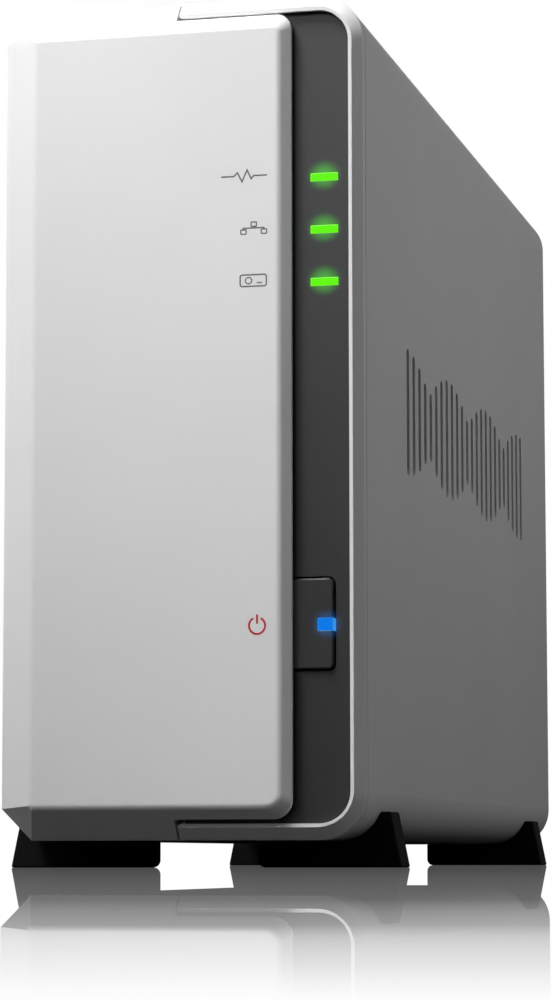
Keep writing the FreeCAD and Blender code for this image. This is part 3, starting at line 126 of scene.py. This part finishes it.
def plastic(name, colour, rough, drift=0.015, grain=4200.0, depth=0.00003, strength=0.3):
    """Moulded plastic: fine spark-eroded grain, with a slight drift of tone and gloss."""
    shade = Shader(name)
    cloud = shade.noise(26.0, 4.0)
    darker = [max(channel - drift, 0.0) for channel in colour]
    lighter = [min(channel + drift, 1.0) for channel in colour]
    shade.join(shade.ramp(cloud, darker, lighter), shade.bsdf.inputs["Base Color"])
    speckle = shade.noise(grain, 2.0, 0.6)
    mixed = shade.math("MULTIPLY", shade.math("ADD", cloud, speckle), 0.5)
    shade.join(shade.spread(mixed, rough - 0.08, rough + 0.08), shade.bsdf.inputs["Roughness"])
    shade.bump(speckle, strength, depth)
    return shade


def metal(name, colour, rough, stretch, scale=900.0):
    """Worked metal with fine lines along one direction."""
    shade = Shader(name)
    lines = shade.noise(scale, 4.0, 0.6, stretch)
    darker = [channel * 0.82 for channel in colour]
    shade.join(shade.ramp(lines, darker, colour), shade.bsdf.inputs["Base Color"])
    shade.join(shade.spread(lines, rough - 0.06, rough + 0.12), shade.bsdf.inputs["Roughness"])
    shade.bump(lines, 0.25, 0.00002)
    shade.finish(Metallic=1.0)
    return shade


# ---------------------------------------------------------------- materials

# Colours and falloff of the painted glow: lamp light painted into the black panel's emission round the
# green lights and the blue button lens.
PAINTED_GLOW_GREEN = (0.03, 0.36, 0.0)
PAINTED_GLOW_BLUE = (0.0, 0.065, 0.23)
PAINTED_GLOW_FADE = 2.2


def centre(node):
    low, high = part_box(node)
    return (low + high) / 2


def add_painted_glow(shade, spots):
    """Painted glow: lamp light painted into the plastic's emission round the lamps, as an oval that
    fades out.
    """
    split = shade.add("ShaderNodeSeparateXYZ")
    shade.join(shade.place, split.inputs[0])
    total = None
    for node, colour, wide, tall, shift in spots:
        middle = centre(node) + shift
        across = shade.math("DIVIDE", shade.math("SUBTRACT", split.outputs["X"], middle.x), wide)
        upward = shade.math("DIVIDE", shade.math("SUBTRACT", split.outputs["Z"], middle.z), tall)
        square = shade.math("ADD", shade.math("MULTIPLY", across, across),
                            shade.math("MULTIPLY", upward, upward))
        inside = shade.math("MAXIMUM", shade.math("SUBTRACT", 1.0, square), 0.0)
        level = shade.math("POWER", inside, PAINTED_GLOW_FADE)
        tint = shade.add("ShaderNodeVectorMath", operation="SCALE")
        tint.inputs[0].default_value = colour
        shade.join(level, tint.inputs["Scale"])
        if total is None:
            total = tint.outputs[0]
        else:
            joined = shade.add("ShaderNodeVectorMath", operation="ADD")
            shade.join(total, joined.inputs[0])
            shade.join(tint.outputs[0], joined.inputs[1])
            total = joined.outputs[0]
    shade.join(total, shade.bsdf.inputs["Emission Color"])
    shade.bsdf.inputs["Emission Strength"].default_value = 1.0


def glowing(name, core, rim, rough=0.25):
    """A lit light guide: an even core, paler along its rounded edges."""
    shade = Shader(name)
    facing = shade.add("ShaderNodeLayerWeight")
    facing.inputs["Blend"].default_value = 0.5
    cloud = shade.noise(900.0, 2.0)
    edge = shade.math("ADD", facing.outputs["Facing"], shade.math("MULTIPLY", cloud, 0.02))
    shade.join(shade.ramp(edge, core, rim, (0.09, 0.22)), shade.bsdf.inputs["Emission Color"])
    return shade.finish(Emission_Strength=1.0, Base_Color=(0.0, 0.0, 0.0, 1), Roughness=rough,
                        Specular_IOR_Level=0.1)


def make_materials():
    """One finished material for each of the record's material slots."""
    made = {
        "front_white": plastic("front_white", (0.80, 0.80, 0.80), 0.42),
        "frame_white": plastic("frame_white", (0.82, 0.82, 0.82), 0.42),
        "shell_white": plastic("shell_white", (0.80, 0.80, 0.80), 0.5, grain=3000.0, strength=0.35),
        "panel_black": plastic("panel_black", (0.022, 0.022, 0.024), 0.36, drift=0.004),
        "dark_plastic": plastic("dark_plastic", (0.016, 0.016, 0.017), 0.45, drift=0.004),
        "rear_grey": plastic("rear_grey", (0.42, 0.42, 0.43), 0.5),
        "foot_rubber": plastic("foot_rubber", (0.006, 0.006, 0.006), 0.75, drift=0.002),
        "chip_black": plastic("chip_black", (0.02, 0.02, 0.021), 0.5, drift=0.003),
        "board_green": plastic("board_green", (0.02, 0.12, 0.06), 0.35, drift=0.01),
        "red_plastic": plastic("red_plastic", (0.5, 0.03, 0.02), 0.4),
        "lamp_clear": plastic("lamp_clear", (0.8, 0.8, 0.72), 0.2),
        "heat_sink_metal": metal("heat_sink_metal", (0.6, 0.6, 0.62), 0.4, (1, 1, 20)),
        "socket_metal": metal("socket_metal", (0.66, 0.66, 0.68), 0.28, (1, 20, 1)),
        "drive_cast": metal("drive_cast", (0.42, 0.42, 0.44), 0.55, (1, 1, 1)),
        "drive_steel": metal("drive_steel", (0.62, 0.63, 0.65), 0.3, (1, 1, 14)),
        "bracket_steel": metal("bracket_steel", (0.55, 0.56, 0.57), 0.4, (1, 14, 1)),
        "screw_steel": metal("screw_steel", (0.6, 0.6, 0.6), 0.3, (1, 1, 1)),
        "coil_copper": metal("coil_copper", (0.7, 0.36, 0.16), 0.35, (1, 30, 1)),
    }
    # Painted glow on the black panel round each light guide and round the button's lens.
    spots = [("light_guide_%d" % number, PAINTED_GLOW_GREEN, 3.9 * MM, 3.4 * MM, Vector((0, 0, 0.25 * MM)))
             for number in (1, 2, 3)]
    spots.append(("button_lens", PAINTED_GLOW_BLUE, 3.3 * MM, 3.2 * MM, Vector((0.3 * MM, 0, 0))))
    add_painted_glow(made["panel_black"], spots)
    made["foot_rubber"].finish(Specular_IOR_Level=0.1)
    made = {slot: shade.material for slot, shade in made.items()}
    made["light_green"] = glowing("light_green", (0.12, 0.92, 0.002), (0.26, 0.94, 0.06))
    made["light_blue"] = glowing("light_blue", (0.003, 0.19, 0.78), (0.05, 0.28, 0.72))
    return made


def dress(piece, material):
    piece.data.materials.clear()
    piece.data.materials.append(material)


MATERIALS = make_materials()
INK_GREY = plastic("ink_grey", (0.12, 0.12, 0.125), 0.6, drift=0.01).material
INK_RED = plastic("ink_red", (0.52, 0.004, 0.012), 0.5, drift=0.004).material
CERAMIC = plastic("ceramic_brown", (0.28, 0.19, 0.11), 0.45, drift=0.04).material
GOLD = metal("contact_gold", (0.83, 0.6, 0.25), 0.25, (1, 20, 1)).material
for part in frame["record"]["subparts"]:
    dress(NODES[part["node"]], MATERIALS[part["material_slot"]])


# ---------------------------------------------------------------- soft edges on the CAD pieces

EDGES = {
    # node: width of its rounded edges, in mm
    "left_shell": 0.3, "cover": 0.2, "front_frame": 0.09, "indicator_panel": 0.06,
    "power_button": 0.2, "button_lens": 0.18, "light_guide_1": 0.18, "light_guide_2": 0.18,
    "light_guide_3": 0.18, "rear_panel": 0.15, "fan_frame": 0.25,
    "lan_socket": 0.15, "usb_socket_lower": 0.08, "usb_socket_upper": 0.08, "power_socket": 0.15,
    "drive_casting": 0.3, "drive_lid": 0.2, "heat_sink": 0.1, "vent_louvre": 0.1,
}
FOOT_EDGE = 0.35
USUAL_EDGE = 0.1
LEFT_AS_THEY_ARE = ("front_plate", "fan_rotor")
WELD_REACH = 0.001 * MM
FLAT_ANGLE = math.radians(0.6)
SHARP_ANGLE = math.radians(28)


def soften_edges(piece, width):
    bevel = piece.modifiers.new("edges", "BEVEL")
    bevel.width = width
    bevel.segments = 2
    bevel.limit_method = "ANGLE"
    bevel.angle_limit = SHARP_ANGLE
    bevel.use_clamp_overlap = True
    piece.modifiers.new("shade", "WEIGHTED_NORMAL").keep_sharp = True


def round_edges(piece, width):
    """Welds the piece's faces, rounds its sharp edges and shades it smoothly."""
    piece.modifiers.new("weld", "WELD").merge_threshold = WELD_REACH
    flat = piece.modifiers.new("flatten", "DECIMATE")
    flat.decimate_type = "DISSOLVE"
    flat.angle_limit = FLAT_ANGLE
    soften_edges(piece, width)


for node, piece in NODES.items():
    if node not in LEFT_AS_THEY_ARE:
        usual = FOOT_EDGE if node.startswith("foot") else USUAL_EDGE
        round_edges(piece, EDGES.get(node, usual) * MM)


# ---------------------------------------------------------------- front plate

def new_piece(name, mesh, material, body):
    piece = bpy.data.objects.new(name, mesh)
    bpy.context.scene.collection.objects.link(piece)
    if material:
        dress(piece, material)
    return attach(piece, body)


FACE_ROUND = 0.7 * MM
FACE_DEPTH = 0.05 * MM
PLATE_EDGE = 0.15 * MM


def make_front_plate():
    """The front plate with a soft edge all round its face."""
    mesh = NODES["front_plate"].data.copy()
    build = bmesh.new()
    build.from_mesh(mesh)
    bmesh.ops.remove_doubles(build, verts=build.verts, dist=WELD_REACH)
    bmesh.ops.dissolve_limit(build, angle_limit=FLAT_ANGLE, verts=build.verts, edges=build.edges)
    weight = build.edges.layers.float.new("bevel_weight_edge")
    for edge in build.edges:
        if max(vert.co.y for vert in edge.verts) < FRONT + FACE_DEPTH:
            edge[weight] = 1.0
    build.to_mesh(mesh)
    build.free()
    plate = new_piece("front_plate_soft", mesh, MATERIALS["front_white"], "chassis")
    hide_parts("front_plate")
    bevel = plate.modifiers.new("soften", "BEVEL")
    bevel.width = FACE_ROUND
    bevel.segments = 5
    bevel.limit_method = "WEIGHT"
    bevel.use_clamp_overlap = False
    soften_edges(plate, PLATE_EDGE)


# ---------------------------------------------------------------- printed signs

PRINT_PROUD = 0.02 * MM


def ribbon(build, points, half, closed=False):
    """A flat printed stroke of even width on the face, with mitred corners."""
    count = len(points)
    rings = []
    for index, point in enumerate(points):
        before = points[index - 1] if index or closed else point
        after = points[(index + 1) % count] if index < count - 1 or closed else point
        ways = [(b - a).normalized() for a, b in ((before, point), (point, after)) if (b - a).length > 0]
        across = sum((Vector((-way.y, way.x)) for way in ways), Vector((0, 0))).normalized()
        reach = half / max(across.dot(Vector((-ways[0].y, ways[0].x))), 0.4)
        ring = []
        for side, depth in ((1, -PRINT_PROUD), (-1, -PRINT_PROUD), (-1, PRINT_PROUD), (1, PRINT_PROUD)):
            spot = point + across * reach * side
            ring.append(build.verts.new((spot.x, FRONT + depth, spot.y)))
        rings.append(ring)
    pairs = list(zip(rings, rings[1:] + rings[:1]))
    for here, there in pairs if closed else pairs[:-1]:
        for corner in range(4):
            turn = (corner + 1) % 4
            build.faces.new((here[corner], here[turn], there[turn], there[corner]))
    if not closed:
        build.faces.new(rings[0][::-1])
        build.faces.new(rings[-1])


def ring_points(x, z, radius, start=0.0, end=360.0, steps=40):
    """Points of a circle or arc in degrees, anticlockwise from +x."""
    turns = [math.radians(start + (end - start) * step / steps) for step in range(steps + 1)]
    points = [Vector((x + radius * math.cos(turn), z + radius * math.sin(turn))) for turn in turns]
    return points[:-1] if end - start == 360.0 else points


def rounded(left, right, low, high, radius):
    """Points of a rounded rectangle."""
    points = []
    for x, z, start in ((right - radius, low + radius, -90), (right - radius, high - radius, 0),
                        (left + radius, high - radius, 90), (left + radius, low + radius, 180)):
        points += ring_points(x, z, radius, start, start + 90, 5)
    return points


def print_sign(name, strokes, material):
    """One printed sign on the front plate from (points, half width, closed) strokes."""
    build = bmesh.new()
    for points, half, closed in strokes:
        ribbon(build, points, half, closed)
    bmesh.ops.recalc_face_normals(build, faces=build.faces)
    mesh = bpy.data.meshes.new(name)
    build.to_mesh(mesh)
    build.free()
    new_piece(name, mesh, material, "chassis")


SIGN_RIGHT = 17.95 * MM
SIGN_HALF = 0.14 * MM
FINE_HALF = SIGN_HALF * 0.85
POWER_HALF = 0.19 * MM
POWER_X = 15.98 * MM


def placed(points, x, z):
    """Points given in millimetres from (x, z), in metres."""
    return [Vector((x + across * MM, z + up * MM)) for across, up in points]


def make_signs():
    """Plain signs beside the lights and the button: activity, network, disk and power."""
    heights = [centre("light_guide_%d" % number).z for number in (3, 2, 1)]
    pulse = [(-9, 0), (-6.5, 0), (-5.8, 0.7), (-4.9, -1.1),
             (-3.9, 1.15), (-3.1, -0.6), (-2.6, 0), (0, 0)]
    print_sign("sign_activity", [(placed(pulse, SIGN_RIGHT, heights[0]), SIGN_HALF, False)], INK_GREY)
    x, z = SIGN_RIGHT - 2.6 * MM, heights[1]
    strokes = []
    for across, up in ((0, 0.72), (-2.0, -0.72), (2.0, -0.72)):
        outline = rounded(x + (across - 0.52) * MM, x + (across + 0.52) * MM,
                          z + (up - 0.42) * MM, z + (up + 0.42) * MM, 0.1 * MM)
        strokes.append((outline, FINE_HALF, True))
    tree = [(-2.0, -0.3), (-2.0, 0.0), (2.0, 0.0), (2.0, -0.3)]
    strokes.append((placed(tree, x, z), FINE_HALF, False))
    strokes.append((placed([(0, 0.3), (0, 0.0)], x, z), FINE_HALF, False))
    print_sign("sign_network", strokes, INK_GREY)
    x, z = SIGN_RIGHT - 2.7 * MM, heights[2]
    strokes = [
        (rounded(x - 2.55 * MM, x + 2.55 * MM, z - 1.1 * MM, z + 1.1 * MM, 0.4 * MM), SIGN_HALF, True),
        (ring_points(x - 0.9 * MM, z, 0.62 * MM, steps=24), FINE_HALF, True),
        (placed([(0.7, -0.45), (1.75, -0.45)], x, z), FINE_HALF, False),
    ]
    print_sign("sign_disk", strokes, INK_GREY)
    x, z = POWER_X, centre("button_lens").z - 0.31 * MM
    strokes = [
        (ring_points(x, z, 1.55 * MM, 90 + 27, 90 + 333), POWER_HALF, False),
        (placed([(0, 0.35), (0, 2.1)], x, z), POWER_HALF, False),
    ]
    print_sign("sign_power", strokes, INK_RED)


make_front_plate()
make_signs()


# ---------------------------------------------------------------- small parts at the rear and inside

def blocks(name, corners, material, edge=0.08):
    """One piece made of small blocks with soft edges, each from its low and its high corner."""
    build = bmesh.new()
    for low, high in corners:
        stretch = Matrix.Diagonal((*(high - low), 1))
        bmesh.ops.create_cube(build, size=1, matrix=Matrix.Translation((low + high) / 2) @ stretch)
    mesh = bpy.data.meshes.new(name)
    build.to_mesh(mesh)
    build.free()
    piece = new_piece(name, mesh, material, "chassis")
    soften_edges(piece, edge * MM)


def span(x, y, z, wide, deep, tall):
    """Corners of a block from its low corner and its size in millimetres."""
    low = Vector((x, y, z))
    return low, low + Vector((wide, deep, tall)) * MM


def make_network_contacts():
    """Eight sprung contacts on the floor of the network socket, and its two light windows."""
    low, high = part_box("lan_socket")
    middle = (low.z + high.z) / 2
    strips = [span(low.x + 1.7 * MM, high.y - 11 * MM, middle + ((index - 3.5) * 1.02 - 0.25) * MM,
                   0.5, 8.5, 0.5) for index in range(8)]
    blocks("network_contacts", strips, GOLD, 0.05)
    windows = [span(low.x + 9.6 * MM, high.y - 0.4 * MM, middle + (side * 5.6 - 1.1) * MM,
                    2.4, 0.45, 2.2) for side in (-1, 1)]
    blocks("network_windows", windows, MATERIALS["lamp_clear"], 0.1)


def make_usb_contacts(level):
    """Four contacts on the tongue of a USB socket."""
    low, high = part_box("usb_socket_" + level)
    middle = (low.z + high.z) / 2
    face = high.x - 3.45 * MM
    strips = [span(face, high.y - 9 * MM, middle + (across - 0.5) * MM, 0.12, 7, 1)
              for across in (-3.5, -1, 1, 3.5)]
    blocks("usb_contacts_" + level, strips, GOLD, 0.03)


def make_chip_legs(chip, count, pitch):
    """Two rows of short legs along the upright sides of a chip."""
    low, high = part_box(chip)
    middle = (low.z + high.z) / 2
    legs = []
    for index in range(count):
        z = middle + ((index - (count - 1) / 2) * pitch - 0.2) * MM
        legs += [span(low.x, y, z, 0.35, 0.9, 0.4) for y in (low.y - 0.7 * MM, high.y - 0.2 * MM)]
    blocks(chip + "_legs", legs, MATERIALS["socket_metal"], 0.05)


def make_board_parts():
    """Rows of small resistors and ceramic capacitors on the mainboard, with two plug sockets."""
    low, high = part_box("mainboard")
    face = high.x
    rows = [(18 + 4.5 * column, 8 + 5 * row) for column in range(6) for row in range(6)]
    small = [span(face, low.y + y * MM, low.z + z * MM, 0.6, 1.6, 0.8) for y, z in rows[::2]]
    blocks("mainboard_resistors", small, MATERIALS["chip_black"])
    wide = [span(face, low.y + y * MM, low.z + z * MM, 0.9, 1.2, 1.8) for y, z in rows[1::2]]
    blocks("mainboard_capacitors", wide, CERAMIC)
    plugs = [span(face, low.y + y * MM, low.z + 30 * MM, 5, 10, 4) for y in (122, 138)]
    blocks("mainboard_plugs", plugs, MATERIALS["shell_white"], 0.25)


def make_drive_details():
    """The drive's plain label with grey bars, and the chips on its circuit board."""
    low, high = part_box("drive_lid")
    sheet = span(high.x - 0.02 * MM, low.y + 72 * MM, low.z + 14 * MM, 0.12, 62, 70)
    blocks("drive_label", [sheet], MATERIALS["shell_white"], 0.04)
    bars = [span(high.x + 0.05 * MM, low.y + 78 * MM, low.z + (24 + 9 * row) * MM,
                 0.08, 50 - 6 * (row % 3), 3) for row in range(6)]
    blocks("drive_label_bars", bars, INK_GREY, 0.02)
    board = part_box("drive_board")[0]
    chips = [span(board.x - 1.2 * MM, board.y + y * MM, board.z + z * MM, 1.2, size, size)
             for y, z, size in ((18, 14, 14), (44, 20, 10), (22, 34, 8), (48, 44, 12))]
    blocks("drive_board_chips", chips, MATERIALS["chip_black"], 0.15)


make_network_contacts()
make_usb_contacts("lower")
make_usb_contacts("upper")
make_chip_legs("memory_chip_1", 9, 1.2)
make_chip_legs("memory_chip_2", 9, 1.2)
make_chip_legs("flash_chip", 4, 1.27)
make_board_parts()
make_drive_details()


# ---------------------------------------------------------------- camera, floor and light

CAMERA_PLACE = Vector((0.15951, -0.68027, 0.00202))
CAMERA_YAW = 13.775
CAMERA_PITCH = 6.413
CAMERA_ROLL = -0.056
LENS = 113.18
SHIFT = (-0.0028, 0.0036)
FLOOR_REACH = 4.0
FLOOR_HEADING = 13.8
FLOOR_BOUNCE = 0.05
FLOOR_IOR = 1.6
FLOOR_SHINE = [
    # (distance in front of the object's middle, how much of the mirror image is left)
    (0.655, 0.0), (0.639, 0.30), (0.619, 0.52), (0.604, 0.77), (0.549, 0.93), (0.210, 0.95),
]


def make_camera():
    """The camera stands low and to the right, looking slightly up at the object."""
    yaw, pitch, roll = (math.radians(angle) for angle in (CAMERA_YAW, CAMERA_PITCH, CAMERA_ROLL))
    turn = (Matrix.Rotation(yaw, 3, "Z") @ Matrix.Rotation(math.pi / 2 + pitch, 3, "X")
            @ Matrix.Rotation(roll, 3, "Z"))
    data = bpy.data.cameras.new("camera")
    data.lens = LENS
    data.sensor_width = 36.0
    data.shift_x, data.shift_y = SHIFT
    data.clip_start = 0.01
    data.dof.use_dof = False
    camera = bpy.data.objects.new("camera", data)
    camera.matrix_world = Matrix.Translation(CAMERA_PLACE) @ turn.to_4x4()
    bpy.context.scene.collection.objects.link(camera)
    bpy.context.scene.camera = camera


def floor_shine(shade):
    """How much of its polish the floor keeps: all near the object, none far in front of it."""
    split = shade.add("ShaderNodeSeparateXYZ")
    shade.join(shade.place, split.inputs[0])
    turn = math.radians(FLOOR_HEADING)
    ahead = shade.math("SUBTRACT", shade.math("MULTIPLY", split.outputs["X"], math.sin(turn)),
                       shade.math("MULTIPLY", split.outputs["Y"], math.cos(turn)))
    far, near = FLOOR_SHINE[0][0], FLOOR_SHINE[-1][0]
    place = shade.spread(ahead, 0.0, 1.0, far, near)
    fade = shade.add("ShaderNodeValToRGB")
    stops = fade.color_ramp.elements
    while len(stops) < len(FLOOR_SHINE):
        stops.new(0.5)
    for stop, (distance, left) in zip(stops, FLOOR_SHINE):
        stop.position = (far - distance) / (far - near)
        stop.color = (left, left, left, 1)
    shade.join(place, fade.inputs["Fac"])
    return fade.outputs["Color"]


def make_floor():
    """A pale glossy floor; its mirror image of the object fades out towards the viewer."""
    mesh = bpy.data.meshes.new("floor")
    mesh.from_pydata([(-FLOOR_REACH, -FLOOR_REACH, 0), (FLOOR_REACH, -FLOOR_REACH, 0),
                      (FLOOR_REACH, FLOOR_REACH, 0), (-FLOOR_REACH, FLOOR_REACH, 0)], [], [(0, 1, 2, 3)])
    floor = bpy.data.objects.new("floor", mesh)
    bpy.context.scene.collection.objects.link(floor)
    shade = Shader("floor_white")
    shade.tree.nodes.remove(shade.bsdf)
    glow = shade.add("ShaderNodeEmission")
    matt = shade.add("ShaderNodeBsdfDiffuse")
    matt.inputs["Color"].default_value = (FLOOR_BOUNCE, FLOOR_BOUNCE, FLOOR_BOUNCE, 1)
    seen = shade.add("ShaderNodeLightPath")
    base = shade.add("ShaderNodeMixShader")
    shade.join(seen.outputs["Is Camera Ray"], base.inputs[0])
    shade.join(matt.outputs[0], base.inputs[1])
    shade.join(glow.outputs[0], base.inputs[2])
    mirror = shade.add("ShaderNodeBsdfGlossy")
    mirror.inputs["Roughness"].default_value = 0.0
    mirror.inputs["Color"].default_value = (1, 1, 1, 1)
    gloss = shade.add("ShaderNodeFresnel")
    gloss.inputs["IOR"].default_value = FLOOR_IOR
    share = shade.math("MULTIPLY", shade.math("MULTIPLY", gloss.outputs[0], floor_shine(shade)),
                       seen.outputs["Is Camera Ray"])
    whole = shade.add("ShaderNodeMixShader")
    shade.join(share, whole.inputs[0])
    shade.join(base.outputs[0], whole.inputs[1])
    shade.join(mirror.outputs[0], whole.inputs[2])
    shade.join(whole.outputs[0], shade.tree.nodes["Material Output"].inputs["Surface"])
    dress(floor, shade.material)


WORLD_FILL = 0.05
LIGHTS = {
    # name: (place, aimed at, width, height, power, spread in degrees, only seen as gloss)
    "key_steep": ((-0.20, -0.30, 0.62), (0, -0.112, 0.14), 0.20, 0.20, 0.240, 38, False),
    "key_front": ((-0.22, -0.45, 0.62), (0, -0.112, 0.14), 0.20, 0.20, 0.162, 35, False),
    "right_back": ((0.70, 0.90, 0.50), (0, 0, 0.10), 0.60, 0.60, 1.00, 180, False),
    "right_low": ((0.90, 0.30, 0.12), (0, 0, 0.08), 0.60, 0.20, 0.10, 180, False),
    "right_high": ((0.80, -0.20, 0.55), (0, 0, 0.18), 0.40, 0.40, 0.120, 50, False),
    "rear_fill": ((-0.30, 1.00, 0.40), (0, 0.11, 0.08), 0.60, 0.60, 1.50, 180, False),
    "card_front": ((-0.40, -1.30, 0.55), (0, -0.10, 0.12), 1.00, 0.40, 3.00, 180, True),
    "card_back": ((0.50, 1.60, 0.50), (0, 0, 0.10), 1.20, 0.60, 0.20, 180, True),
}


def make_lights():
    for name, (place, aim, wide, tall, power, spread, gloss) in LIGHTS.items():
        data = bpy.data.lights.new(name, "AREA")
        data.shape = "RECTANGLE"
        data.size, data.size_y = wide, tall
        data.energy = power
        data.spread = math.radians(spread)
        lamp = bpy.data.objects.new(name, data)
        lamp.location = place
        lamp.rotation_euler = (Vector(aim) - Vector(place)).to_track_quat("-Z", "Y").to_euler()
        lamp.visible_camera = False
        lamp.visible_diffuse = not gloss
        bpy.context.scene.collection.objects.link(lamp)


def make_world():
    """White all round to the eye and in the floor's mirror image; the lamps alone give light."""
    world = bpy.data.worlds.new("studio")
    bpy.context.scene.world = world
    world.use_nodes = True
    tree = world.node_tree
    seen = tree.nodes.new("ShaderNodeLightPath")
    either = tree.nodes.new("ShaderNodeMath")
    either.operation = "MAXIMUM"
    tree.links.new(seen.outputs["Is Camera Ray"], either.inputs[0])
    tree.links.new(seen.outputs["Is Singular Ray"], either.inputs[1])
    level = tree.nodes.new("ShaderNodeMapRange")
    level.inputs["To Min"].default_value = WORLD_FILL
    level.inputs["To Max"].default_value = 1.0
    tree.links.new(either.outputs[0], level.inputs["Value"])
    tree.links.new(level.outputs["Result"], tree.nodes["Background"].inputs["Strength"])
    tree.nodes["Background"].inputs["Color"].default_value = (1, 1, 1, 1)


make_camera()
make_floor()
make_lights()
make_world()
bpy.context.scene.view_settings.view_transform = "Standard"
